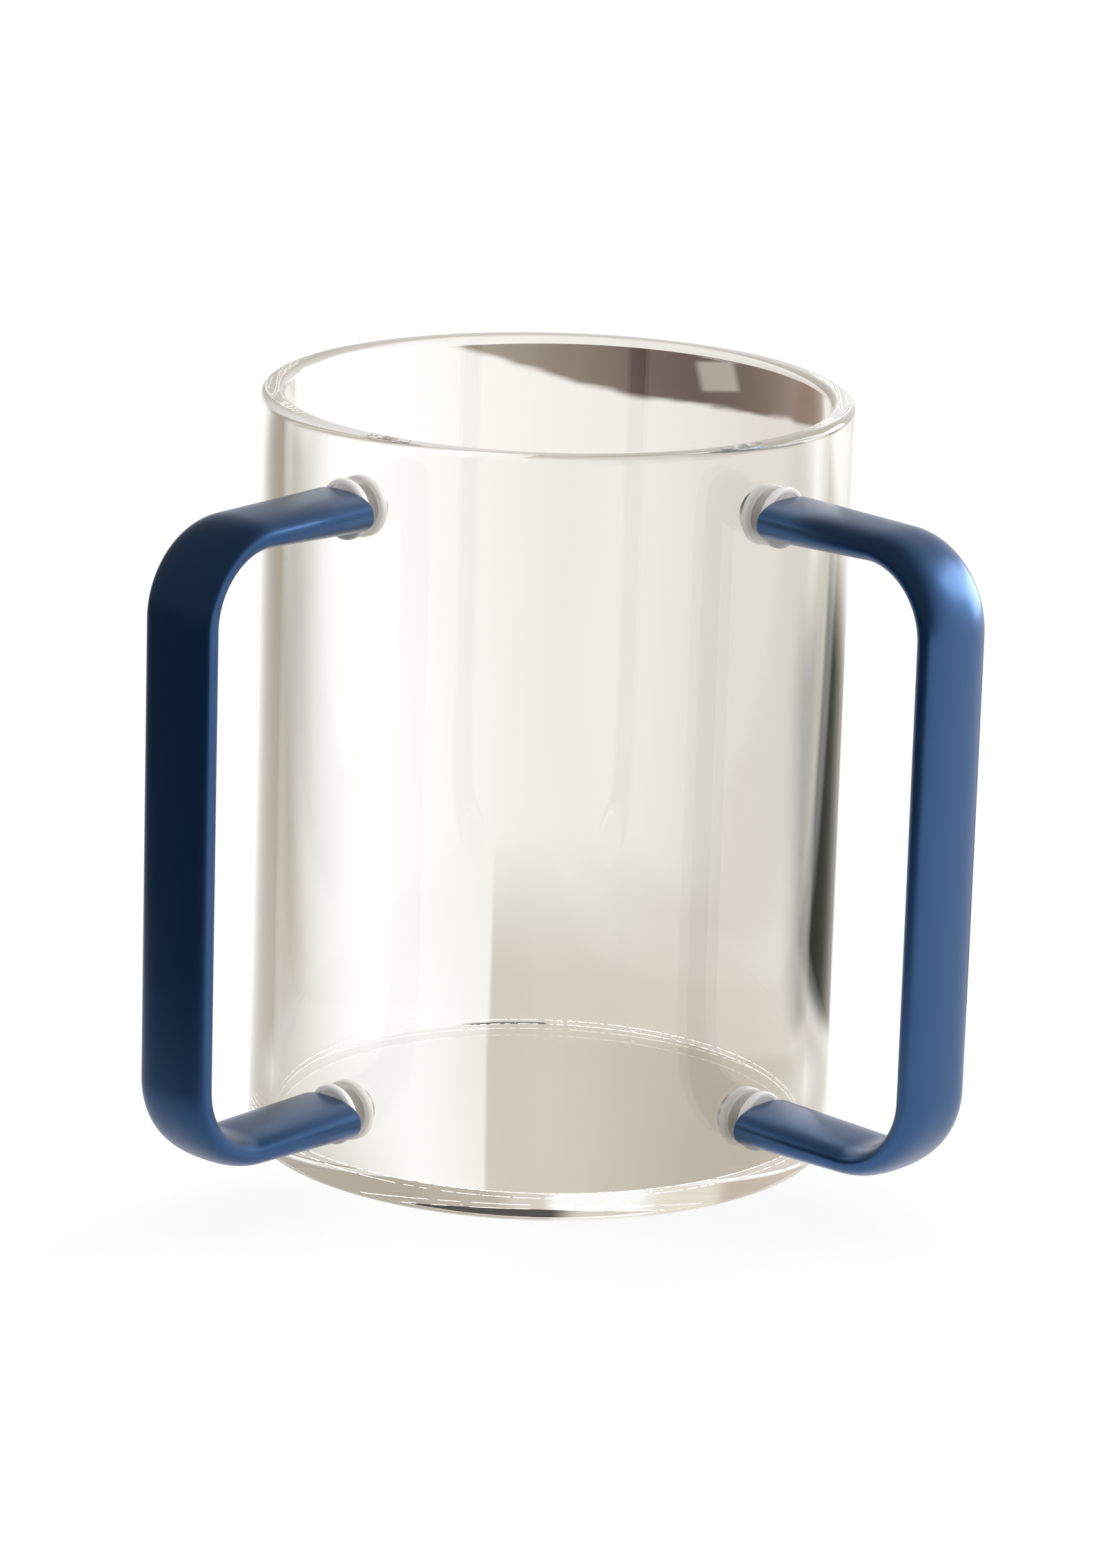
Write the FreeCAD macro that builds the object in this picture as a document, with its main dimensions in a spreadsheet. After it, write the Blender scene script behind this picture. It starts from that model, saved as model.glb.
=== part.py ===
import FreeCAD, Part
import Sketcher
import math
import os

# Two-handled hand-washing cup.
# A clear acrylic tube is bonded onto a clear disc. Two anodised aluminium handles stand on its front,
# a quarter turn apart. Each handle is held by two screws from inside the cup, with a clear washer on
# either side of the wall.
#
# Frame: millimetres, +Z up, origin at the centre of the underside, the handles to either side of -Y.
# Every piece of a handle is drawn with the handle pointing along +X, then turned into its place.

sizes = [
    ("cup_diameter", "100", "outside of the tube and of the base disc"),
    ("wall_thickness", "4", "wall of the tube"),
    ("cup_height", "130", "underside to rim"),
    ("base_thickness", "4", "base disc"),
    ("base_edge_bevel", "0.5", "lower edge of the base disc"),
    ("rim_outer_bevel", "0.5", "outer edge of the rim"),
    ("rim_inner_bevel", "0.9", "inner edge of the rim"),
    ("handle_spread", "90", "degrees between the two handles"),
    ("upper_leg_below_rim", "12.6", "rim down to the upper leg's axis"),
    ("lower_leg_above_floor", "9.4", "cup floor up to the lower leg's axis"),
    ("handle_reach", "37", "outside of the wall to the grip's centre line"),
    ("bend_radius", "13.5", "handle corners, on the centre line"),
    ("handle_width", "15.4", "oval bar, across the handle"),
    ("grip_thickness", "5.8", "oval bar at the grip"),
    ("foot_thickness", "7.1", "oval bar where it meets the cup"),
    ("foot_edge_bevel", "0.4", "edge of the flat foot"),
    ("washer_diameter", "10.2", "outside of every washer"),
    ("outer_washer_thickness", "1.2", "at its centre, between wall and foot"),
    ("inner_washer_thickness", "1.5", "at its centre, between wall and screw head"),
    ("screw_diameter", "4", "thread, over its crests"),
    ("screw_engagement", "10", "length of thread inside the leg"),
    ("head_diameter", "7", "low cap head"),
    ("head_height", "1.6", "low cap head"),
    ("socket_width", "2.5", "hexagon socket, across flats"),
    ("socket_depth", "1.1", "hexagon socket"),
    ("wall_hole_clearance", "0.25", "radial, screw in the acrylic"),
    ("washer_hole_clearance", "0.1", "radial, screw in a washer"),
    ("thread_clearance", "0.05", "radial, screw in the leg"),
    ("tap_runout", "2", "tapped hole beyond the screw's end"),
    ("cut_overrun", "1", "how far a cut runs past what it cuts"),
]

# Places worked out from the sizes, written as sheet expressions.
outer_radius = "(Sizes.cup_diameter / 2)"
inner_radius = f"({outer_radius} - Sizes.wall_thickness)"
middle_radius = f"({outer_radius} - Sizes.wall_thickness / 2)"
foot_plane = f"({outer_radius} + Sizes.outer_washer_thickness)"
grip_plane = f"({outer_radius} + Sizes.handle_reach)"
bend_plane = f"({grip_plane} - Sizes.bend_radius)"
upper_leg = "(Sizes.cup_height - Sizes.upper_leg_below_rim)"
lower_leg = "(Sizes.base_thickness + Sizes.lower_leg_above_floor)"
grip_middle = f"(({upper_leg} + {lower_leg}) / 2)"
head_seat = f"({inner_radius} - Sizes.inner_washer_thickness)"
head_back = f"({head_seat} - Sizes.head_height)"
screw_radius = "(Sizes.screw_diameter / 2)"
head_radius = "(Sizes.head_diameter / 2)"
washer_radius = "(Sizes.washer_diameter / 2)"
wall_hole_diameter = "(Sizes.screw_diameter + 2 * Sizes.wall_hole_clearance)"
washer_hole_diameter = "(Sizes.screw_diameter + 2 * Sizes.washer_hole_clearance)"
tapped_diameter = "(Sizes.screw_diameter + 2 * Sizes.thread_clearance)"
screw_tip = f"({foot_plane} + Sizes.screw_engagement)"
full_turn = 360
quarter_turn = full_turn / 4
hexagon_sides = 6
left_turn = "(-90 - Sizes.handle_spread / 2)"
right_turn = "(-90 + Sizes.handle_spread / 2)"
leg_heights = {"upper": upper_leg, "lower": lower_leg}
side_turns = {"left": left_turn, "right": right_turn}

document = FreeCAD.newDocument("WashingCup")
sheet = document.addObject("Spreadsheet::Sheet", "Sizes")
for row, (alias, value, meaning) in enumerate(sizes, start=1):
    sheet.set(f"A{row}", alias)
    sheet.set(f"B{row}", value)
    sheet.set(f"C{row}", meaning)
    sheet.setAlias(f"B{row}", alias)
document.recompute()


def value_of(expression):
    """The number that a sheet expression comes to."""
    result = sheet.evalExpression(expression)
    return float(getattr(result, "Value", result))


def add_body(label, turn="0"):
    """A body for one piece, turned about the cup's axis."""
    body = document.addObject("PartDesign::Body", label)
    body.Label = label
    upright = FreeCAD.Vector(0, 0, 1)
    body.Placement = FreeCAD.Placement(FreeCAD.Vector(), FreeCAD.Rotation(upright, value_of(turn)))
    return body


def add_sketch(body, name, role, offset=None, lift=None, shift=None):
    """A sketch on one of the body's own origin planes, moved out, up or along by an expression."""
    plane = next(feature for feature in body.Origin.OriginFeatures if feature.Role == role)
    sketch = body.newObject("Sketcher::SketchObject", name)
    sketch.AttachmentSupport = [(plane, "")]
    sketch.MapMode = "FlatFace"
    for axis, expression in (("z", offset), ("y", lift), ("x", shift)):
        if expression:
            sketch.setExpression(f"AttachmentOffset.Base.{axis}", expression)
    return sketch


def drive(sketch, kind, *geometry, size):
    """A dimension in a sketch, bound to a sheet expression."""
    index = sketch.addConstraint(Sketcher.Constraint(kind, *geometry, value_of(size)))
    sketch.renameConstraint(index, f"size_{index}")
    sketch.setExpression(f"Constraints.size_{index}", size)


def add_corners(sketch, corners):
    """A closed outline through corners given as pairs of expressions, None lying on an axis."""
    points = []
    for across, up in corners:
        x = value_of(across) if across else 0
        y = value_of(up) if up else 0
        points.append(FreeCAD.Vector(x, y, 0))
    count = len(points)
    for index in range(count):
        sketch.addGeometry(Part.LineSegment(points[index], points[(index + 1) % count]), False)
    for index in range(count):
        sketch.addConstraint(Sketcher.Constraint("Coincident", index, 2, (index + 1) % count, 1))
    for index, (across, up) in enumerate(corners):
        if across:
            drive(sketch, "DistanceX", -1, 1, index, 1, size=across)
        else:
            sketch.addConstraint(Sketcher.Constraint("PointOnObject", index, 1, -2))
        if up:
            drive(sketch, "DistanceY", -1, 1, index, 1, size=up)
        else:
            sketch.addConstraint(Sketcher.Constraint("PointOnObject", index, 1, -1))


def add_circle(sketch, diameter, height=None):
    """A circle on the sketch's vertical axis, at its origin or at a height."""
    index = sketch.GeometryCount
    y = value_of(height) if height else 0
    circle = Part.Circle(FreeCAD.Vector(0, y, 0), FreeCAD.Vector(0, 0, 1), value_of(diameter) / 2)
    sketch.addGeometry(circle, False)
    drive(sketch, "Diameter", index, size=diameter)
    sketch.addConstraint(Sketcher.Constraint("PointOnObject", index, 3, -2))
    if height:
        drive(sketch, "DistanceY", -1, 1, index, 3, size=height)
    else:
        sketch.addConstraint(Sketcher.Constraint("PointOnObject", index, 3, -1))


def add_oval(sketch, width, thickness, distance=None):
    """An ellipse at the sketch's origin, its width along X, or out along X with its width along Y."""
    half_width = value_of(width) / 2
    half_thickness = value_of(thickness) / 2
    centre = FreeCAD.Vector(value_of(distance) if distance else 0, 0, 0)
    tip = FreeCAD.Vector(0, half_width, 0) if distance else FreeCAD.Vector(half_width, 0, 0)
    side = FreeCAD.Vector(-half_thickness, 0, 0) if distance else FreeCAD.Vector(0, half_thickness, 0)
    sketch.addGeometry(Part.Ellipse(centre + tip, centre + side, centre), False)
    sketch.exposeInternalGeometry(0)
    sketch.addConstraint(Sketcher.Constraint("PointOnObject", 0, 3, -1))
    sketch.addConstraint(Sketcher.Constraint("Vertical" if distance else "Horizontal", 1))
    if distance:
        drive(sketch, "DistanceX", -1, 1, 0, 3, size=distance)
    else:
        sketch.addConstraint(Sketcher.Constraint("PointOnObject", 0, 3, -2))
    drive(sketch, "Distance", 1, size=width)
    drive(sketch, "Distance", 2, size=thickness)


def add_feature(body, kind, name, profile, **bound):
    """A feature made from a sketch, with its own sizes bound to expressions."""
    feature = body.newObject(f"PartDesign::{kind}", name)
    feature.Profile = profile
    for key, expression in bound.items():
        feature.setExpression(key, expression)
    return feature


def revolve(body, kind, name, profile, axis):
    """A full turn of a profile about one of the sketch's axes."""
    feature = add_feature(body, kind, name, profile)
    feature.ReferenceAxis = (profile, [axis])
    feature.Angle = full_turn
    return feature


def check_cut(body, feature):
    """A cut that points away from the solid would leave its volume as it was."""
    document.recompute()
    before = feature.BaseFeature.Shape.Volume
    after = feature.Shape.Volume
    if not after < before:
        raise RuntimeError(f"{body.Label}: {feature.Label} cuts nothing")


def bevel_edge(body, name, size, radius, height):
    """A bevel on the body's level circular edge of a given radius and height."""
    document.recompute()
    base = body.Tip
    edges = enumerate(base.Shape.Edges, start=1)
    names = [f"Edge{n}" for n, edge in edges if is_level_circle(edge, radius, height)]
    bevel = body.newObject("PartDesign::Chamfer", name)
    bevel.Base = (base, names)
    bevel.setExpression("Size", size)


def is_level_circle(edge, radius, height):
    """True if an edge is a level circle, or part of one, of a given radius and height."""
    level = max(abs(edge.BoundBox.ZMin - height), abs(edge.BoundBox.ZMax - height)) < edge_tolerance
    return level and isinstance(edge.Curve, Part.Circle) and abs(edge.Curve.Radius - radius) < edge_tolerance


edge_tolerance = 0.001 * value_of("Sizes.wall_thickness")

# Cup wall: a length of tube, the edges of its rim eased, drilled for the four screws.
cup_wall = add_body("cup_wall", left_turn)
tube_profile = add_sketch(cup_wall, "TubeProfile", "XZ_Plane")
add_corners(tube_profile, [
    (inner_radius, "Sizes.base_thickness"),
    (outer_radius, "Sizes.base_thickness"),
    (outer_radius, "Sizes.cup_height"),
    (inner_radius, "Sizes.cup_height"),
])
revolve(cup_wall, "Revolution", "Tube", tube_profile, "V_Axis")
hole_sketch = add_sketch(cup_wall, "ScrewHoleSketch", "YZ_Plane")
for height in leg_heights.values():
    add_circle(hole_sketch, wall_hole_diameter, height)
screw_holes = add_feature(
    cup_wall, "Pocket", "ScrewHoles", hole_sketch, Length=f"{outer_radius} + Sizes.cut_overrun")
screw_holes.Reversed = True
check_cut(cup_wall, screw_holes)
both_sides = cup_wall.newObject("PartDesign::PolarPattern", "BothSides")
both_sides.Originals = [screw_holes]
both_sides.Axis = (tube_profile, ["V_Axis"])
both_sides.setExpression("Angle", "Sizes.handle_spread")
both_sides.Occurrences = len(side_turns)
cup_wall.Tip = both_sides
rim_height = value_of("Sizes.cup_height")
bevel_edge(cup_wall, "OuterRimBevel", "Sizes.rim_outer_bevel", value_of(outer_radius), rim_height)
bevel_edge(cup_wall, "InnerRimBevel", "Sizes.rim_inner_bevel", value_of(inner_radius), rim_height)

# Cup base: a disc as wide as the tube, bonded under it.
cup_base = add_body("cup_base")
disc_sketch = add_sketch(cup_base, "DiscSketch", "XY_Plane")
add_circle(disc_sketch, "Sizes.cup_diameter")
add_feature(cup_base, "Pad", "Disc", disc_sketch, Length="Sizes.base_thickness")
bevel_edge(cup_base, "LowerEdgeBevel", "Sizes.base_edge_bevel", value_of(outer_radius), 0)


def add_handle(side, turn):
    """A D-shaped handle: one oval bar, thickening down each leg to a flat tapped foot."""
    body = add_body(f"handle_{side}", turn)
    # Each end of the grip is a bend radius away from its sketch's vertical axis, which the bend turns about.
    bevel = "Sizes.foot_edge_bevel"
    upper_end = f"({upper_leg} - Sizes.bend_radius)"
    lower_end = f"({lower_leg} + Sizes.bend_radius)"
    grip_ends = {}
    for level, end in (("Upper", upper_end), ("Lower", lower_end)):
        grip_ends[level] = add_sketch(body, f"{level}GripEnd", "XY_Plane", end, shift=bend_plane)
        add_oval(grip_ends[level], "Sizes.handle_width", "Sizes.grip_thickness", "Sizes.bend_radius")
    grip = add_feature(body, "Pad", "Grip", grip_ends["Upper"], Length=f"{upper_end} - {lower_end}")
    grip.Reversed = True
    for level, height in (("Upper", upper_leg), ("Lower", lower_leg)):
        bend = revolve(body, "Revolution", f"{level}Bend", grip_ends[level], "V_Axis")
        bend.Angle = quarter_turn
        bend.Reversed = level == "Upper"
        root = add_sketch(body, f"{level}LegRoot", "YZ_Plane", bend_plane, height)
        add_oval(root, "Sizes.handle_width", "Sizes.grip_thickness")
        foot = add_sketch(body, f"{level}Foot", "YZ_Plane", f"{foot_plane} + {bevel}", height)
        add_oval(foot, "Sizes.handle_width", "Sizes.foot_thickness")
        face = add_sketch(body, f"{level}FootFace", "YZ_Plane", foot_plane, height)
        add_oval(face, f"Sizes.handle_width - 2 * {bevel}", f"Sizes.foot_thickness - 2 * {bevel}")
        document.recompute()
        leg = add_feature(body, "AdditiveLoft", f"{level}Leg", root)
        leg.Sections = [(foot, [""]), (face, [""])]
        leg.Ruled = True
    document.recompute()
    tap_sketch = add_sketch(body, "TapSketch", "YZ_Plane", foot_plane)
    for height in leg_heights.values():
        add_circle(tap_sketch, tapped_diameter, height)
    taps = add_feature(
        body, "Hole", "TappedHoles", tap_sketch, Diameter=tapped_diameter,
        Depth="Sizes.screw_engagement + Sizes.tap_runout")
    taps.DepthType = "Dimension"
    taps.DrillPoint = "Flat"
    taps.Reversed = True
    check_cut(body, taps)
    return body


def add_washer(name, turn, height, face, toward_wall, reversed_pad):
    """A clear washer, flat on the side of the foot or screw head and moulded to the wall on the other."""
    body = add_body(name, turn)
    ring = add_sketch(body, "Ring", "YZ_Plane", face, height)
    add_circle(ring, "Sizes.washer_diameter")
    add_circle(ring, washer_hole_diameter)
    pad = add_feature(body, "Pad", "Blank", ring, Length=toward_wall)
    pad.Reversed = reversed_pad
    wall_section = add_sketch(body, "WallSection", "XZ_Plane")
    above = f"({height} + {washer_radius} + Sizes.cut_overrun)"
    below = f"({height} - {washer_radius} - Sizes.cut_overrun)"
    add_corners(wall_section, [
        (inner_radius, below),
        (outer_radius, below),
        (outer_radius, above),
        (inner_radius, above),
    ])
    seat = revolve(body, "Groove", "WallSeat", wall_section, "V_Axis")
    check_cut(body, seat)
    return body


def add_screw(name, turn, height):
    """A low-head cap screw from inside the cup, through both washers and the wall, into the leg."""
    body = add_body(name, turn)
    profile = add_sketch(body, "Profile", "XZ_Plane", lift=height)
    add_corners(profile, [
        (head_back, None),
        (head_back, head_radius),
        (head_seat, head_radius),
        (head_seat, screw_radius),
        (screw_tip, screw_radius),
        (screw_tip, None),
    ])
    revolve(body, "Revolution", "Turned", profile, "H_Axis")
    hexagon = add_sketch(body, "Hexagon", "YZ_Plane", head_back, height)
    half_side = full_turn / hexagon_sides / 2
    corner_radius = f"Sizes.socket_width / 2 / cos({half_side})"
    turns = [full_turn * n / hexagon_sides + half_side for n in range(hexagon_sides)]
    add_corners(hexagon, [(f"({corner_radius} * cos({a}))", f"({corner_radius} * sin({a}))") for a in turns])
    socket = add_feature(body, "Pocket", "Socket", hexagon, Length="Sizes.socket_depth")
    socket.Reversed = True
    check_cut(body, socket)
    return body


bodies = [cup_wall, cup_base]
for side, turn in side_turns.items():
    bodies.append(add_handle(side, turn))
for side, turn in side_turns.items():
    for level, height in leg_heights.items():
        place = f"{side}_{level}"
        bodies.append(add_washer(
            f"outer_washer_{place}", turn, height, foot_plane, f"{foot_plane} - {middle_radius}", True))
        bodies.append(add_washer(
            f"inner_washer_{place}", turn, height, head_seat, f"{middle_radius} - {head_seat}", False))
        bodies.append(add_screw(f"screw_{place}", turn, height))

document.recompute()
for item in document.Objects:
    if "Invalid" in item.State or "Error" in item.State:
        raise RuntimeError(f"{item.Label} failed: {item.State}")
for body in bodies:
    if body.Shape.isNull() or not body.Shape.isValid() or len(body.Shape.Solids) != 1:
        raise RuntimeError(f"{body.Label} is not one valid solid")

os.makedirs("parts", exist_ok=True)
for body in bodies:
    body.Shape.exportStep(f"parts/{body.Label}.step")
    print(f"{body.Label}: {body.Shape.Volume:.1f} mm3")
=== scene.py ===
import math

import bmesh
import bpy
from mathutils import Matrix, Vector


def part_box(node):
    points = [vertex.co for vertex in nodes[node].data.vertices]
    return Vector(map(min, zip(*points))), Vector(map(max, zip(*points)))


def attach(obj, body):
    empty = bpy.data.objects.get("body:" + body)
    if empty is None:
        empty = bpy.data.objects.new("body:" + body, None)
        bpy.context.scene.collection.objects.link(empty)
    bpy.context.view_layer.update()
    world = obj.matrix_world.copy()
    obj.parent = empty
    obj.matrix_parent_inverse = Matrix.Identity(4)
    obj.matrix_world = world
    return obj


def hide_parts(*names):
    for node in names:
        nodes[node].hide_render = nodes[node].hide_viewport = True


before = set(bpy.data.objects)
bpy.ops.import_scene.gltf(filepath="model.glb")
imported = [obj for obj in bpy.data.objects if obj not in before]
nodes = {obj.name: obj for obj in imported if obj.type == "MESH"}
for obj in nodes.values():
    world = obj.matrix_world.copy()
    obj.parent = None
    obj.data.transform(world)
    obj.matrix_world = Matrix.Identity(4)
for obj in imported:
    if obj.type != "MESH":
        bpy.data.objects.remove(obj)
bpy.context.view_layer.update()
scene = bpy.context.scene
scene.view_settings.view_transform = "Standard"

# Camera: stands in front of the cup and a little to its left, above the rim, looking down into it.
# The two handles come forward on either side of the view, the left one a little nearer its middle.
camera_distance = 1.0545
camera_height = 0.3569
camera_lens = 147.04
camera_tilt = math.radians(15.65)
camera_turn = math.radians(-2.42)
camera_aim = math.radians(-0.12)
camera_roll = math.radians(1.72)
level_gaze = math.radians(90)

camera_data = bpy.data.cameras.new("camera")
camera_data.sensor_width = 36
camera_data.lens = camera_lens
camera_data.clip_end = 20
camera = bpy.data.objects.new("camera", camera_data)
scene.collection.objects.link(camera)
stand = Matrix.Rotation(camera_turn, 4, "Z") @ Matrix.Translation((0, -camera_distance, camera_height))
gaze = Matrix.Rotation(camera_aim, 4, "Z") @ Matrix.Rotation(level_gaze - camera_tilt, 4, "X")
camera.matrix_world = stand @ gaze @ Matrix.Rotation(camera_roll, 4, "Z")
scene.camera = camera

# Cup wall: a length of extruded clear acrylic tube, its sawn rim eased and flame-polished to a soft
# round. It is drilled for four screws, and its lower end is cemented down onto the base disc.
millimetre = 0.001
wall_low, wall_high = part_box("cup_wall")
outer_radius = wall_high.x
wall_thickness = 4 * millimetre
inner_radius = outer_radius - wall_thickness
middle_radius = outer_radius - wall_thickness / 2
floor_height = wall_low.z
rim_height = wall_high.z
rim_round = 1.3 * millimetre
rim_segments = 10
corner_margin = 0.3 * millimetre
joint_reach = 0.01 * millimetre
tube_steps = 288
sharp_angle = math.radians(30)
quarter_turn = math.radians(90)

hole_radius = 2.25 * millimetre
hole_steps = 48
drill_length = 3 * wall_thickness
hole_band = 4 * millimetre
leg_heights = {}
for level in ("upper", "lower"):
    screw_low, screw_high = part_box(f"screw_left_{level}")
    leg_heights[level] = (screw_low.z + screw_high.z) / 2
front = math.radians(-90)
handle_turn = math.radians(45)
side_turns = {"left": front - handle_turn, "right": front + handle_turn}


def linear(code):
    """An sRGB hex colour as the linear colour that shaders take."""
    parts = [int(code[i:i + 2], 16) / 255 for i in (1, 3, 5)]
    return [p / 12.92 if p <= 0.04045 else ((p + 0.055) / 1.055) ** 2.4 for p in parts] + [1]


def add(tree, kind, inputs=None, **settings):
    """A node with its settings, its inputs given as values or as sockets to link from."""
    node = tree.nodes.new(kind)
    for name, value in settings.items():
        setattr(node, name, value)
    for name, value in (inputs or {}).items():
        if isinstance(value, bpy.types.NodeSocket):
            tree.links.new(value, node.inputs[name])
        else:
            node.inputs[name].default_value = value
    return node


def new_material(name):
    """A material and its empty node tree."""
    material = bpy.data.materials.new(name)
    material.use_nodes = True
    material.node_tree.nodes.clear()
    return material, material.node_tree


def finish_piece(name, shape, materials):
    """The bmesh as an object of the cup, smooth but for its sharp edges, riding on the cup."""
    mesh = bpy.data.meshes.new(name)
    bmesh.ops.recalc_face_normals(shape, faces=shape.faces)
    shape.to_mesh(mesh)
    shape.free()
    mesh.shade_smooth()
    mesh.set_sharp_from_angle(angle=sharp_angle)
    for material in materials:
        mesh.materials.append(material)
    piece = bpy.data.objects.new(name, mesh)
    scene.collection.objects.link(piece)
    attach(piece, "root")
    return piece


def draw_outline(shape, corners, closed=True):
    """Half a section through a round piece, as points at a radius and a height with edges between them."""
    verts = [shape.verts.new((radius, 0, height)) for radius, height in corners]
    ends = verts[1:] + verts[:1] if closed else verts[1:]
    for first, second in zip(verts, ends):
        shape.edges.new((first, second))
    return verts


def turn_about_axis(shape, steps):
    """A full turn of everything drawn so far about the upright axis, seam and poles merged."""
    bmesh.ops.spin(
        shape, geom=shape.verts[:] + shape.edges[:], cent=(0, 0, 0), axis=(0, 0, 1),
        angle=math.tau, steps=steps, use_merge=True)
    bmesh.ops.remove_doubles(shape, verts=shape.verts, dist=0.001 * millimetre)


# A Mix node's colour sockets share their names with its other sockets, so they are known by number.
first_colour, second_colour, mixed_colour = 6, 7, 2

# Clear extruded acrylic, flame-polished: colourless with a faint warm grey, an index of 1.49, and a
# skin so smooth that only slow ripples from the extruder's die show in its reflections. Light crosses
# the cup's walls many times, so it is followed for more bounces than usual.
scene.cycles.max_bounces = 24
scene.cycles.glossy_bounces = 16
scene.cycles.transmission_bounces = 24
scene.cycles.transparent_max_bounces = 24
acrylic_index = 1.49
ripple_length = 22 * millimetre
trapped_after = 12.5

acrylic, tree = new_material("clear_acrylic")
place = add(tree, "ShaderNodeTexCoord")
ripple_place = add(tree, "ShaderNodeMapping", {
    "Vector": place.outputs["Object"], "Scale": (1, 1, 0.25)})
ripple = add(tree, "ShaderNodeTexNoise", {
    "Vector": ripple_place.outputs[0], "Scale": 1 / ripple_length, "Detail": 1.0})
ripple_bump = add(tree, "ShaderNodeBump", {
    "Height": ripple.outputs[0], "Strength": 0.05, "Distance": 0.3 * millimetre})
clear = add(tree, "ShaderNodeBsdfPrincipled", {
    "Base Color": linear("#FDFDFC"), "Roughness": 0.0, "IOR": acrylic_index,
    "Transmission Weight": 1.0, "Normal": ripple_bump.outputs[0]})
let_light = add(tree, "ShaderNodeBsdfTransparent", {"Color": linear("#FAF9F7")})
ray = add(tree, "ShaderNodeLightPath")
clear_wall = add(tree, "ShaderNodeMixShader", {
    0: ray.outputs["Is Shadow Ray"], 1: clear.outputs[0], 2: let_light.outputs[0]})

# Rays still in the wall after many passes end in a painted glow: an emitted pale tone that stands in for
# the light trapped in the acrylic, painted whitest at the left of the cup and warm grey at the right.
edge_place = add(tree, "ShaderNodeSeparateXYZ", {"Vector": place.outputs["Object"]})
painted_glow_side = add(tree, "ShaderNodeMapRange", {
    "Value": edge_place.outputs["X"], "From Min": -outer_radius, "From Max": outer_radius / 2})
painted_edge_glow_tone = add(tree, "ShaderNodeMix", {
    "Factor": painted_glow_side.outputs[0], first_colour: linear("#EFECE8"), second_colour: linear("#B8B1A4")},
    data_type="RGBA")
painted_edge_glow = add(tree, "ShaderNodeEmission", {"Color": painted_edge_glow_tone.outputs[mixed_colour], "Strength": 1.0})
trapped = add(tree, "ShaderNodeMath", {
    0: ray.outputs["Ray Depth"], 1: trapped_after}, operation="GREATER_THAN")
wall_with_painted_edge_glow = add(tree, "ShaderNodeMixShader", {
    0: trapped.outputs[0], 1: clear_wall.outputs[0], 2: painted_edge_glow.outputs[0]})
add(tree, "ShaderNodeOutputMaterial", {"Surface": wall_with_painted_edge_glow.outputs[0]})

# Solvent cement: it melts the two faces into one, so light passes straight through the joint. Small
# trapped bubbles, strewn over the joint and crowded along the wall's two skins, are white and also glow
# with a painted emission that stands in for the light they catch, so they read as a broken bright line.
# They are drawn coarser than real ones, so that they show.
bubble_spacing = 1.1 * millimetre
bubble_drift = 9 * millimetre
largest_strewn = 0.28
crowded = 0.62
strewn_reach = 1.75 * millimetre

cement, tree = new_material("solvent_cement")
place = add(tree, "ShaderNodeTexCoord")
cells = add(tree, "ShaderNodeTexVoronoi", {
    "Vector": place.outputs["Object"], "Scale": 1 / bubble_spacing, "Randomness": 1.0})
drift = add(tree, "ShaderNodeTexNoise", {
    "Vector": place.outputs["Object"], "Scale": 1 / bubble_drift, "Detail": 2.0})
strewn = add(tree, "ShaderNodeMapRange", {
    "Value": drift.outputs[0], "From Min": 0.45, "From Max": 0.75, "To Min": 0.0, "To Max": largest_strewn})
level_place = add(tree, "ShaderNodeVectorMath", {
    0: place.outputs["Object"], 1: (1, 1, 0)}, operation="MULTIPLY")
from_axis = add(tree, "ShaderNodeVectorMath", {0: level_place.outputs[0]}, operation="LENGTH")
mid_joint = add(tree, "ShaderNodeMath", {
    0: from_axis.outputs["Value"], 1: middle_radius, 2: strewn_reach}, operation="COMPARE")
bubble_size = add(tree, "ShaderNodeMapRange", {
    "Value": mid_joint.outputs[0], "To Min": crowded, "To Max": strewn.outputs[0]})
bubble = add(tree, "ShaderNodeMath", {
    0: cells.outputs["Distance"], 1: bubble_size.outputs[0]}, operation="LESS_THAN")
through = add(tree, "ShaderNodeBsdfTransparent", {"Color": linear("#FFFFFF")})
# Painted glint: each bubble's white emission stands in for the light it catches.
bubble_with_painted_glow = add(tree, "ShaderNodeBsdfPrincipled", {
    "Base Color": linear("#F8F7F3"), "Roughness": 0.25, "IOR": acrylic_index,
    "Emission Color": linear("#FFFFFF"), "Emission Strength": 0.5})
joint = add(tree, "ShaderNodeMixShader", {
    0: bubble.outputs[0], 1: through.outputs[0], 2: bubble_with_painted_glow.outputs[0]})
add(tree, "ShaderNodeOutputMaterial", {"Surface": joint.outputs[0]})

# The tube's section, with a loop of edges above and below each level of holes to keep the drilling
# from disturbing the rest of the wall.
shape = bmesh.new()
straight_top = rim_height - rim_round - corner_margin
hole_loops = sorted(height + shift for height in leg_heights.values() for shift in (-hole_band, hole_band))
corners = [(inner_radius, floor_height)]
corners += [(outer_radius, height) for height in (floor_height, *hole_loops, straight_top)]
rim_start = len(corners)
corners += [(outer_radius, rim_height), (inner_radius, rim_height)]
corners += [(inner_radius, height) for height in (straight_top, *reversed(hole_loops))]
outline = draw_outline(shape, corners)
rim_corners = outline[rim_start:rim_start + 2]
bmesh.ops.bevel(
    shape, geom=rim_corners, offset=rim_round, segments=rim_segments, profile=0.5, affect="VERTICES",
    material=-1)
turn_about_axis(shape, tube_steps)
for face in shape.faces:
    if face.calc_center_median().z < floor_height + joint_reach:
        face.material_index = 1
wall = finish_piece("acrylic_wall", shape, [acrylic, cement])
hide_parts("cup_wall")

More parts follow.
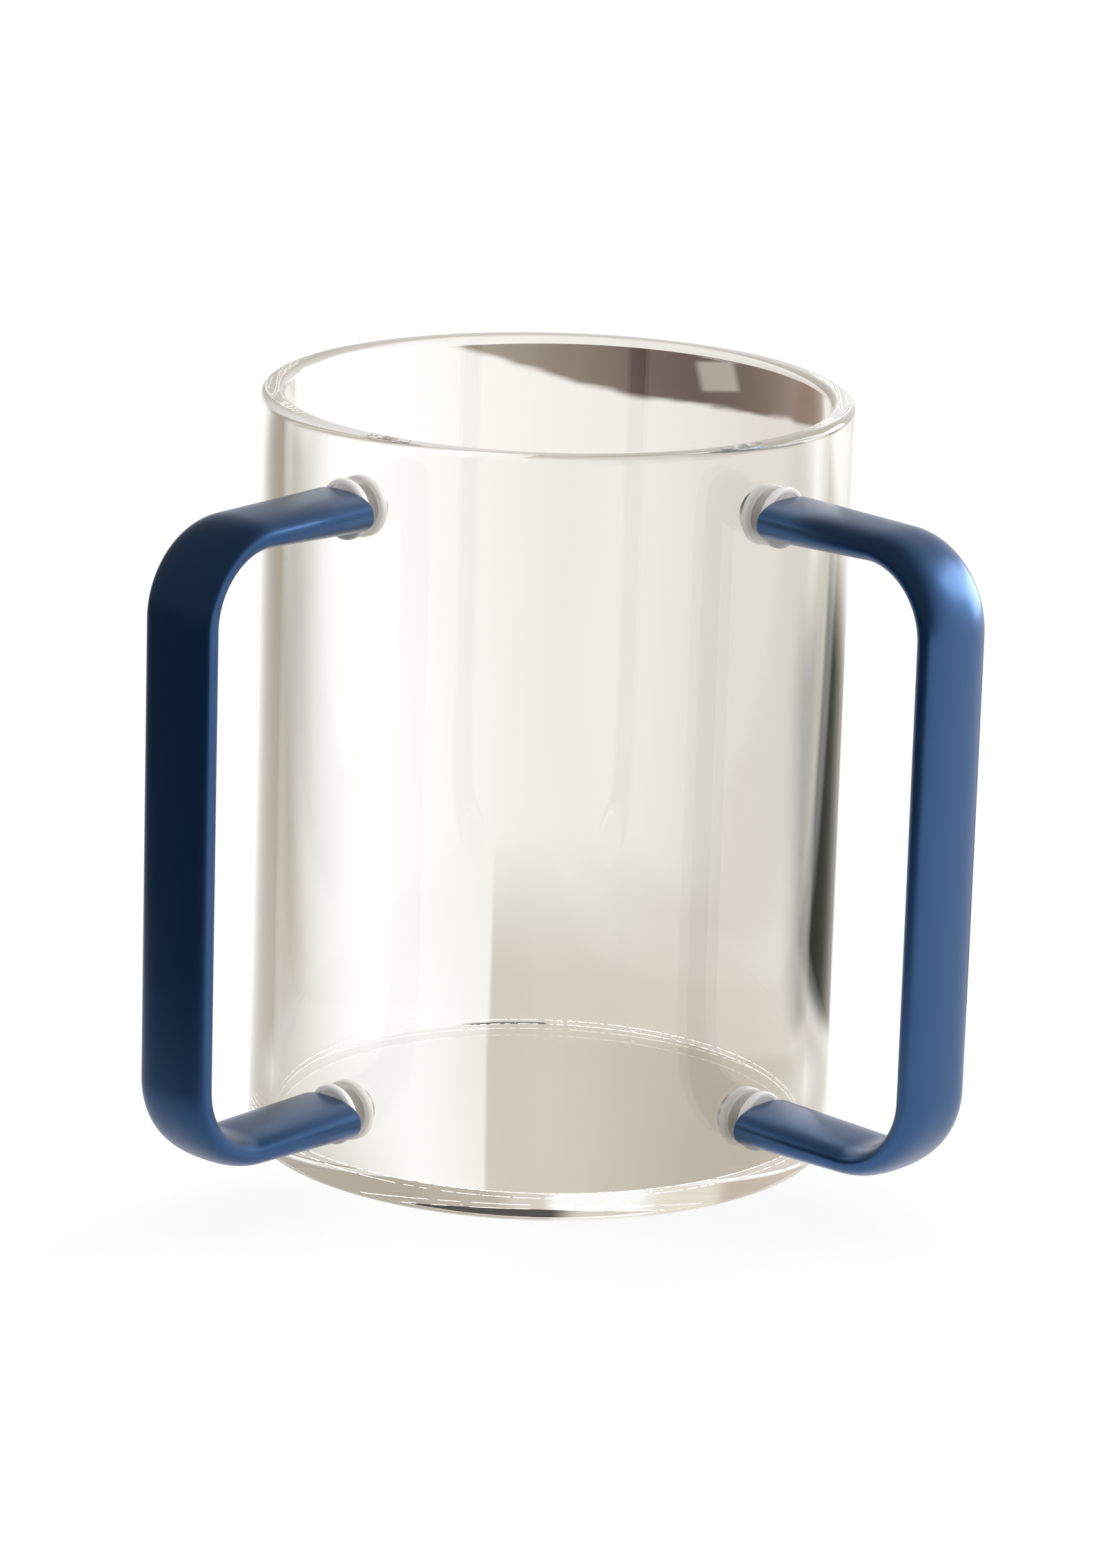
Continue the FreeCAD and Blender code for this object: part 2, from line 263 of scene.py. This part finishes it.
# Four holes are drilled through the finished tube, and leave it sharp-edged where they break out.
shape = bmesh.new()
for turn in side_turns.values():
    for height in leg_heights.values():
        across_wall = (
            Matrix.Rotation(turn, 4, "Z") @ Matrix.Translation((middle_radius, 0, height))
            @ Matrix.Rotation(quarter_turn, 4, "Y"))
        bmesh.ops.create_cone(
            shape, cap_ends=True, segments=hole_steps, radius1=hole_radius, radius2=hole_radius,
            depth=drill_length, matrix=across_wall)
mesh = bpy.data.meshes.new("drill")
shape.to_mesh(mesh)
shape.free()
mesh.materials.append(acrylic)
drill = bpy.data.objects.new("drill", mesh)
scene.collection.objects.link(drill)
holes = wall.modifiers.new("holes", "BOOLEAN")
holes.operation = "DIFFERENCE"
holes.solver = "EXACT"
holes.object = drill
drilled = bpy.data.meshes.new_from_object(wall.evaluated_get(bpy.context.evaluated_depsgraph_get()))
wall.modifiers.clear()
wall.data = drilled
drilled.shade_smooth()
drilled.set_sharp_from_angle(angle=sharp_angle)
bpy.data.objects.remove(drill)

# Cup base: a disc cut from clear acrylic sheet to the tube's own width. Its upper face is the cup's
# floor, and its lower edge is eased so that it doesn't scratch what it stands on.
base_round = 0.6 * millimetre
base_segments = 6
flat_edge = outer_radius - base_round - corner_margin
under_edge = (outer_radius, 0)
corners = [
    (0, floor_height), (inner_radius, floor_height), (outer_radius, floor_height),
    (outer_radius, base_round + corner_margin), under_edge, (flat_edge, 0), (0, 0)]

shape = bmesh.new()
outline = draw_outline(shape, corners, closed=False)
bmesh.ops.bevel(
    shape, geom=[outline[corners.index(under_edge)]], offset=base_round, segments=base_segments, profile=0.5,
    affect="VERTICES", material=-1)
turn_about_axis(shape, tube_steps)
for face in shape.faces:
    middle = face.calc_center_median()
    if middle.z > floor_height - joint_reach and middle.xy.length > inner_radius:
        face.material_index = 1
base = finish_piece("acrylic_base", shape, [acrylic, cement])
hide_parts("cup_base")

# Handles: each is one oval bar of aluminium, bent to a D and thickening along its legs to two flat
# feet. It is bead-blasted, then anodised and dyed navy blue, which leaves a fine satin grain.
grip_thickness = 5.3 * millimetre
foot_thickness = 6.9 * millimetre
handle_width = 15.0 * millimetre
handle_reach = 37 * millimetre
bend_radius = 13.5 * millimetre
foot_round = 0.45 * millimetre
outer_washer_thickness = 1.2 * millimetre
foot_plane = outer_radius + outer_washer_thickness
grip_plane = outer_radius + handle_reach
bend_plane = grip_plane - bend_radius
leg_run = bend_plane - foot_plane
taper = grip_thickness / foot_thickness
section_fullness = 2.4
section_points = 72
bend_steps = 28
upper_leg, lower_leg = leg_heights["upper"], leg_heights["lower"]

# Blasted and dyed aluminium: the grain breaks highlights up into a soft sheen, and the dye takes a
# little deeper in some places than in others. The sealed oxide over it adds a faint second gloss.
grain_size = 0.25 * millimetre
grain_depth = 0.02 * millimetre
dye_drift = 14 * millimetre
anodised, tree = new_material("anodised_aluminium")
place = add(tree, "ShaderNodeTexCoord")
grain = add(tree, "ShaderNodeTexNoise", {
    "Vector": place.outputs["Object"], "Scale": 1 / grain_size, "Detail": 3.0})
grain_bump = add(tree, "ShaderNodeBump", {
    "Height": grain.outputs[0], "Strength": 0.25, "Distance": grain_depth})
dye = add(tree, "ShaderNodeTexNoise", {
    "Vector": place.outputs["Object"], "Scale": 1 / dye_drift, "Detail": 3.0})
dye_colour = add(tree, "ShaderNodeMix", {
    "Factor": dye.outputs[0], first_colour: linear("#2C517F"), second_colour: linear("#325886")},
    data_type="RGBA")
satin = add(tree, "ShaderNodeMapRange", {
    "Value": grain.outputs[0], "From Min": 0.3, "From Max": 0.7, "To Min": 0.30, "To Max": 0.38})
blue = add(tree, "ShaderNodeBsdfPrincipled", {
    "Base Color": dye_colour.outputs[mixed_colour], "Metallic": 1.0, "Roughness": satin.outputs[0],
    "Coat Weight": 0.35, "Coat Roughness": 0.22, "Coat IOR": 1.6, "Normal": grain_bump.outputs[0]})
add(tree, "ShaderNodeOutputMaterial", {"Surface": blue.outputs[0]})


def oval_loop(shape, plane, height, thickness):
    """The bar's section, a little fuller than an ellipse, standing across the leg at a plane."""
    loop = bmesh.ops.create_circle(shape, segments=section_points, radius=1)["verts"]
    power = 2 / section_fullness
    for vert in loop:
        across = math.copysign(abs(vert.co.x) ** power, vert.co.x) * handle_width / 2
        up = math.copysign(abs(vert.co.y) ** power, vert.co.y) * thickness / 2
        vert.co = (plane, across, height + up)
    return loop


def edges_of(shape, loop):
    """The edges between the points of a loop."""
    return [edge for edge in shape.edges if all(vert in loop for vert in edge.verts)]


def carry(shape, loop, shift, squeeze=1.0):
    """Extrudes an open loop of edges by a shift, and squeezes its height about its middle."""
    made = bmesh.ops.extrude_edge_only(shape, edges=edges_of(shape, loop))["geom"]
    verts = [item for item in made if isinstance(item, bmesh.types.BMVert)]
    bmesh.ops.translate(shape, vec=shift, verts=verts)
    middle = sum((vert.co for vert in verts), Vector()) / len(verts)
    bmesh.ops.scale(shape, vec=(1, 1, squeeze), verts=verts, space=Matrix.Translation(-middle))
    return verts


def bend(shape, loop, centre):
    """Carries a loop a quarter turn round a bend about a centre, in the handle's own plane."""
    made = bmesh.ops.spin(
        shape, geom=edges_of(shape, loop), cent=centre, axis=(0, 1, 0), angle=quarter_turn,
        steps=bend_steps, use_merge=False)["geom_last"]
    return [item for item in made if isinstance(item, bmesh.types.BMVert)]


for side, turn in side_turns.items():
    shape = bmesh.new()
    loop = oval_loop(shape, foot_plane, upper_leg, foot_thickness)
    top_foot = shape.faces.new(loop)
    loop = carry(shape, loop, (leg_run, 0, 0), taper)
    loop = bend(shape, loop, (bend_plane, 0, upper_leg - bend_radius))
    loop = carry(shape, loop, (0, 0, lower_leg - upper_leg + 2 * bend_radius))
    loop = bend(shape, loop, (bend_plane, 0, lower_leg + bend_radius))
    loop = carry(shape, loop, (-leg_run, 0, 0), 1 / taper)
    low_foot = bmesh.ops.edgeloop_fill(shape, edges=edges_of(shape, loop))["faces"][0]
    foot_edges = list(top_foot.edges) + list(low_foot.edges)
    bmesh.ops.bevel(
        shape, geom=foot_edges, offset=foot_round, segments=4, profile=0.5, affect="EDGES", material=-1)
    bmesh.ops.rotate(shape, cent=(0, 0, 0), matrix=Matrix.Rotation(turn, 3, "Z"), verts=shape.verts)
    handle = finish_piece(f"{side}_handle", shape, [anodised])
    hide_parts(f"handle_{side}")

# Washers: one of soft clear vinyl on each side of the wall under every screw, to seal the hole and
# to keep metal off the acrylic. Pulled tight, each takes the wall's curve on the side against it.
washer_radius = 5.1 * millimetre
washer_hole = 2.1 * millimetre
inner_washer_thickness = 1.5 * millimetre
washer_round = 0.35 * millimetre
washer_steps = 64
milky_from = washer_radius - 0.75 * millimetre
vinyl_index = 1.53

# Soft clear vinyl, punched from sheet: its faces are slightly hazy, so what lies behind is blurred.
haze_drift = 3 * millimetre
vinyl, tree = new_material("clear_vinyl")
place = add(tree, "ShaderNodeTexCoord")
haze = add(tree, "ShaderNodeTexNoise", {
    "Vector": place.outputs["Object"], "Scale": 1 / haze_drift, "Detail": 2.0})
haze_rough = add(tree, "ShaderNodeMapRange", {
    "Value": haze.outputs[0], "From Min": 0.3, "From Max": 0.7, "To Min": 0.10, "To Max": 0.16})
soft = add(tree, "ShaderNodeBsdfPrincipled", {
    "Base Color": linear("#FBF7F5"), "Roughness": haze_rough.outputs[0], "IOR": vinyl_index,
    "Transmission Weight": 0.5})
add(tree, "ShaderNodeOutputMaterial", {"Surface": soft.outputs[0]})

# The cut edge of each washer gathers the light in it and shows as a milky white ring.
cut_grain = 0.5 * millimetre
cut_vinyl, tree = new_material("cut_vinyl_edge")
place = add(tree, "ShaderNodeTexCoord")
cut = add(tree, "ShaderNodeTexNoise", {
    "Vector": place.outputs["Object"], "Scale": 1 / cut_grain, "Detail": 2.0})
cut_colour = add(tree, "ShaderNodeMix", {
    "Factor": cut.outputs[0], first_colour: linear("#F4EFEA"), second_colour: linear("#FFFFFD")},
    data_type="RGBA")
milky = add(tree, "ShaderNodeBsdfPrincipled", {
    "Base Color": cut_colour.outputs[mixed_colour], "Roughness": 0.45, "IOR": vinyl_index})
add(tree, "ShaderNodeOutputMaterial", {"Surface": milky.outputs[0]})

washer_places = (
    ("outer", outer_radius, outer_washer_thickness),
    ("inner", inner_radius, -inner_washer_thickness))
for side, turn in side_turns.items():
    for level, height in leg_heights.items():
        for where, wall_radius, thickness in washer_places:
            shape = bmesh.new()
            outline = draw_outline(shape, [
                (washer_hole, 0), (milky_from, 0), (washer_radius, 0), (washer_radius, thickness),
                (milky_from, thickness), (washer_hole, thickness)])
            edge_corners = outline[2:4]
            bmesh.ops.bevel(
                shape, geom=edge_corners, offset=washer_round, segments=4, profile=0.5, affect="VERTICES",
                material=-1)
            turn_about_axis(shape, washer_steps)
            for face in shape.faces:
                face.material_index = int(face.calc_center_median().xy.length > milky_from)
            lay_on_wall = (
                Matrix.Translation((wall_radius, 0, height)) @ Matrix.Rotation(quarter_turn, 4, "Y"))
            bmesh.ops.transform(shape, matrix=lay_on_wall, verts=shape.verts)
            for vert in shape.verts:
                sag = wall_radius - math.sqrt(wall_radius ** 2 - vert.co.y ** 2)
                share = 1 - abs(vert.co.x - wall_radius) / abs(thickness)
                vert.co.x -= sag * share
            bmesh.ops.rotate(shape, cent=(0, 0, 0), matrix=Matrix.Rotation(turn, 3, "Z"), verts=shape.verts)
            washer = finish_piece(
                f"{where}_ring_{side}_{level}", shape, [vinyl, cut_vinyl])
            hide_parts(f"{where}_washer_{side}_{level}")

# Screws: low-head stainless cap screws, put through from inside the cup and driven with a hexagon
# key. The heads are turned, which leaves them bright with a faint grain from the tool.
turning_grain = 0.3 * millimetre
stainless, tree = new_material("stainless_steel")
place = add(tree, "ShaderNodeTexCoord")
tool_marks = add(tree, "ShaderNodeTexNoise", {
    "Vector": place.outputs["Object"], "Scale": 1 / turning_grain, "Detail": 2.0})
turned = add(tree, "ShaderNodeMapRange", {
    "Value": tool_marks.outputs[0], "From Min": 0.3, "From Max": 0.7, "To Min": 0.28, "To Max": 0.38})
steel = add(tree, "ShaderNodeBsdfPrincipled", {
    "Base Color": linear("#D6D5D1"), "Metallic": 1.0, "Roughness": turned.outputs[0]})
add(tree, "ShaderNodeOutputMaterial", {"Surface": steel.outputs[0]})
for side in side_turns:
    for level in leg_heights:
        screw = nodes[f"screw_{side}_{level}"]
        screw.data.materials.clear()
        screw.data.materials.append(stainless)

# Floor: a plain white sweep a hair under the base, which the camera sees as white but for the cup's
# own soft shadow. Mirrored in the cup or seen through it, the floor shows the tones of the room
# round it instead. Those are painted on it from above, as places on the floor in metres.
floor_gap = 0.2 * millimetre
floor_reach = 4
paper, tree = new_material("white_paper")
place = add(tree, "ShaderNodeTexCoord")
spot = add(tree, "ShaderNodeSeparateXYZ", {"Vector": place.outputs["Object"]})
across, away = spot.outputs["X"], spot.outputs["Y"]


def patch(tree, under, colour, *limits):
    """Paints a colour over another within soft limits: a value, where the colour starts, where it is full."""
    mask = 1.0
    for value, start, full in limits:
        share = add(tree, "ShaderNodeMapRange", {
            "Value": value, "From Min": start, "From Max": full}, interpolation_type="SMOOTHSTEP")
        mask = add(tree, "ShaderNodeMath", {
            0: mask, 1: share.outputs[0]}, operation="MULTIPLY").outputs[0]
    return add(tree, "ShaderNodeMix", {
        "Factor": mask, first_colour: under, second_colour: colour}, data_type="RGBA").outputs[mixed_colour]


def right_of_line(angle, start):
    """How far a spot on the floor lies to the right of a line, from a point on it and its angle to +Y."""
    turned = add(tree, "ShaderNodeMapping", {
        "Vector": place.outputs["Object"], "Location": (*start, 0), "Rotation": (0, 0, angle)},
        vector_type="TEXTURE")
    return add(tree, "ShaderNodeSeparateXYZ", {"Vector": turned.outputs[0]}).outputs["X"]


# Painted reflection: mirrored, the floor shows a room dim at the left and white at the right.
window_edge = right_of_line(math.radians(26), (0, 0))
painted_room_reflection = patch(tree, linear("#445158"), linear("#FFFFFF"), (window_edge, -0.22, 0.0))

# Seen through the cup, painted tones spread like a fan from a point before it: a dim taupe at the left,
# then white, then ever warmer greys, painting the room's light at the left and its shade to the right.
# Each has its colour, where it starts and where it is full.
fan_distance = 0.2
fan_depth = add(tree, "ShaderNodeMath", {0: away, 1: fan_distance}, operation="ADD")
fan = add(tree, "ShaderNodeMath", {0: across, 1: fan_depth.outputs[0]}, operation="DIVIDE").outputs[0]
painted_through_tones = linear("#ABA294")
for colour, start, full in (
        ("#FFFEFD", -0.265, -0.115), ("#E3DFD9", -0.12, 0.07), ("#CFC9C2", 0.05, 0.15),
        ("#BAB4A6", 0.15, 0.32)):
    painted_through_tones = patch(tree, painted_through_tones, linear(colour), (fan, start, full))

# A cream tone is painted under the cup's right half, seen only through the cup, its straight edge running
# away from the camera. Under the base it turns to a painted shade, darker toward the right.
cream_tone_edge = right_of_line(math.radians(-1.35), (-8.8 * millimetre, 0))
on_cream_tone = (cream_tone_edge, -0.6 * millimetre, 0.6 * millimetre)
painted_through_tones = patch(tree, painted_through_tones, linear("#CAC3B9"), on_cream_tone, (away, 0.20, 0.08))
painted_shade_under_base = patch(tree, linear("#CAC4B9"), linear("#B7AFA1"), (across, 0.0, 0.025))
painted_through_tones = patch(tree, painted_through_tones, painted_shade_under_base, on_cream_tone, (away, 0.046, 0.036))

# A dark patch is painted to the right, in what is mirrored and seen through the cup, and the floor is pale
# again beyond it and far off at the left.
painted_dark_patch_limits = ((fan, 0.22, 0.30), (fan, 0.66, 0.57), (away, 0.046, 0.062), (away, 0.40, 0.28))
painted_dark_patch = linear("#33352F")
painted_through_tones = patch(tree, painted_through_tones, painted_dark_patch, *painted_dark_patch_limits)
painted_room_reflection = patch(tree, painted_room_reflection, painted_dark_patch, *painted_dark_patch_limits)
painted_through_tones = patch(tree, painted_through_tones, linear("#EDEBE6"), (across, 0.16, 0.23), (away, 0.37, 0.44))
painted_through_tones = patch(tree, painted_through_tones, linear("#EEECE6"), (across, -0.09, -0.16), (away, 0.50, 0.58))

# A brown band, painted and seen through the cup's far wall, its lower edge ragged and bent at a corner, with
# one pale rectangle in it painted as the reflection of a window.
band_corner = (0.045, 0.603)
ragged_height = 0.014
wobble = add(tree, "ShaderNodeTexNoise", {
    "Vector": place.outputs["Object"], "Scale": 45.0, "Detail": 2.0})
ragged_by = add(tree, "ShaderNodeMath", {
    0: wobble.outputs["Fac"], 1: ragged_height, 2: -ragged_height / 2}, operation="MULTIPLY_ADD")
bent_edge = add(tree, "ShaderNodeMath", {
    0: right_of_line(math.radians(43), band_corner), 1: right_of_line(math.radians(67), band_corner)},
    operation="MINIMUM")
band_edge = add(tree, "ShaderNodeMath", {
    0: bent_edge.outputs[0], 1: ragged_by.outputs[0]}, operation="ADD").outputs[0]
brown_band_and_window_reflection = patch(tree, linear("#9A8F82"), linear("#4C362C"), (across, -0.02, 0.075))
brown_band_and_window_reflection = patch(tree, brown_band_and_window_reflection, linear("#7C6252"), (across, 0.078, 0.15))
# Painted reflection of a window: a pale rectangle in the brown band.
brown_band_and_window_reflection = patch(
    tree, brown_band_and_window_reflection, linear("#9C9186"),
    (across, 0.074, 0.078), (across, 0.094, 0.090), (away, 0.606, 0.612), (away, 0.650, 0.644))
painted_through_tones = patch(tree, painted_through_tones, brown_band_and_window_reflection, (band_edge, -0.003, 0.006), (across, 0.20, 0.172))

# To the sides and in front of the cup the floor is plain and pale.
beside = add(tree, "ShaderNodeMath", {0: across}, operation="ABSOLUTE").outputs[0]
painted_through_tones = patch(tree, painted_through_tones, linear("#F1EFEA"), (fan, -0.62, -0.78))
painted_through_tones = patch(tree, painted_through_tones, linear("#F1EFEA"), (fan, 0.80, 1.00))
painted_through_tones = patch(tree, painted_through_tones, linear("#E2DFD9"), (away, -0.05, -0.09))
painted_through_tones = patch(tree, painted_through_tones, linear("#F4F3EF"), (beside, 0.055, 0.08), (away, 0.045, 0.0))

# Painted shadow: rays that have come only a few millimetres, from the base itself, show near-black, as the
# shade in the gap under the base's back edge.
ray = add(tree, "ShaderNodeLightPath")
ray_length = ray.outputs["Ray Length"]
painted_through_tones = patch(
    tree, painted_through_tones, linear("#2E2C24"), (ray_length, 0.0005, 0.0015), (ray_length, 0.0125, 0.0115),
    (across, -0.014, -0.010), (across, 0.0045, 0.003), (away, 0.0532, 0.0540))

# The paper is matt, and a glow lifts it toward white wherever it is looked at, directly or by way of the cup;
# mirrored or seen through the cup, that glow carries the painted reflection and the painted tones above.
plain_lift = 0.80
seen_through_lift = 0.93
tone = add(tree, "ShaderNodeMix", {
    "Factor": ray.outputs["Is Glossy Ray"], first_colour: linear("#FFFFFF"), second_colour: painted_room_reflection},
    data_type="RGBA")
tone = add(tree, "ShaderNodeMix", {
    "Factor": ray.outputs["Is Transmission Ray"], first_colour: tone.outputs[mixed_colour],
    second_colour: painted_through_tones}, data_type="RGBA")
tone = tone.outputs[mixed_colour]
paint = add(tree, "ShaderNodeMix", {
    "Factor": 1.0, first_colour: linear("#808080"), second_colour: tone},
    data_type="RGBA", blend_type="MULTIPLY")
looked_at = add(tree, "ShaderNodeMath", {
    0: ray.outputs["Is Camera Ray"], 1: ray.outputs["Is Glossy Ray"]}, operation="MAXIMUM")
looked_at = add(tree, "ShaderNodeMath", {
    0: looked_at.outputs[0], 1: ray.outputs["Is Transmission Ray"]}, operation="MAXIMUM")
lift = add(tree, "ShaderNodeMapRange", {
    "Value": ray.outputs["Is Transmission Ray"], "To Min": plain_lift, "To Max": seen_through_lift})
lift = add(tree, "ShaderNodeMath", {0: looked_at.outputs[0], 1: lift.outputs[0]}, operation="MULTIPLY")
matt = add(tree, "ShaderNodeBsdfDiffuse", {"Color": paint.outputs[mixed_colour]})
glow = add(tree, "ShaderNodeEmission", {"Color": tone, "Strength": lift.outputs[0]})
lifted = add(tree, "ShaderNodeAddShader", {0: matt.outputs[0], 1: glow.outputs[0]})
add(tree, "ShaderNodeOutputMaterial", {"Surface": lifted.outputs[0]})

shape = bmesh.new()
bmesh.ops.create_grid(shape, x_segments=1, y_segments=1, size=floor_reach)
bmesh.ops.translate(shape, vec=(0, 0, -floor_gap), verts=shape.verts)
mesh = bpy.data.meshes.new("floor")
shape.to_mesh(mesh)
shape.free()
mesh.materials.append(paper)
floor = bpy.data.objects.new("floor", mesh)
scene.collection.objects.link(floor)

# Light: an even white room with a soft window low at the right, behind the cup, and a smaller one
# above it. They aren't seen through the cup, where they would show as a hard white notch in its base.
world = bpy.data.worlds.new("studio")
scene.world = world
world.use_nodes = True
tree = world.node_tree
tree.nodes.clear()
ray = add(tree, "ShaderNodeLightPath")
place = add(tree, "ShaderNodeTexCoord")
heading = add(tree, "ShaderNodeSeparateXYZ", {"Vector": place.outputs["Generated"]})
sideways, upward = heading.outputs["X"], heading.outputs["Z"]

# Mirrored, the room brightens toward the windows' side.
bright_side = (0.80, 0.45, -0.40)
toward_windows = add(tree, "ShaderNodeVectorMath", {
    0: place.outputs["Generated"], 1: bright_side}, operation="DOT_PRODUCT")
mirrored = add(tree, "ShaderNodeMapRange", {
    "Value": toward_windows.outputs["Value"], "From Min": -0.1, "From Max": 0.7,
    "To Min": 0.16, "To Max": 1.0}, interpolation_type="SMOOTHSTEP")

# Seen through the cup, the room is white ahead and warmer to either side, under a grey ceiling. Each
# tone has its colour, and the headings where it starts and where it is full.
surround = linear("#FFFFFC")
for heading_part, colour, start, full in (
        (sideways, "#D6CFC2", -0.01, 0.03), (sideways, "#B9B1A3", 0.07, 0.13),
        (sideways, "#B0A798", 0.27, 0.33), (sideways, "#E6DFD0", -0.18, -0.26),
        (sideways, "#C2B5A2", -0.38, -0.46), (upward, "#FFFFFF", 0.36, 0.46),
        (upward, "#8A8F92", 0.58, 0.72)):
    surround = patch(tree, surround, linear(colour), (heading_part, start, full))

even_light = (0.9, 0.9, 0.9, 1)
sky_tone = even_light
for kind, colour in (
        ("Is Glossy Ray", mirrored.outputs[0]), ("Is Transmission Ray", surround),
        ("Is Camera Ray", linear("#FFFFFF"))):
    sky_tone = add(tree, "ShaderNodeMix", {
        "Factor": ray.outputs[kind], first_colour: sky_tone, second_colour: colour},
        data_type="RGBA").outputs[mixed_colour]
sky = add(tree, "ShaderNodeBackground", {"Color": sky_tone, "Strength": 1.0})
add(tree, "ShaderNodeOutputWorld", {"Surface": sky.outputs[0]})
cup_middle = Vector((0, 0, 0.08))


def soft_window(name, position, width, height, power):
    """A rectangular soft light at a position, turned to the middle of the cup."""
    data = bpy.data.lights.new(name, "AREA")
    data.shape = "RECTANGLE"
    data.size = width
    data.size_y = height
    data.energy = power
    window = bpy.data.objects.new(name, data)
    scene.collection.objects.link(window)
    window.location = position
    window.rotation_euler = (cup_middle - Vector(position)).to_track_quat("-Z", "Y").to_euler()
    window.visible_transmission = False


soft_window("window", (1.2, 0.75, 0.32), width=0.9, height=0.5, power=8)
soft_window("high_window", (1.05, 0.38, 0.66), width=0.6, height=0.45, power=3.2)
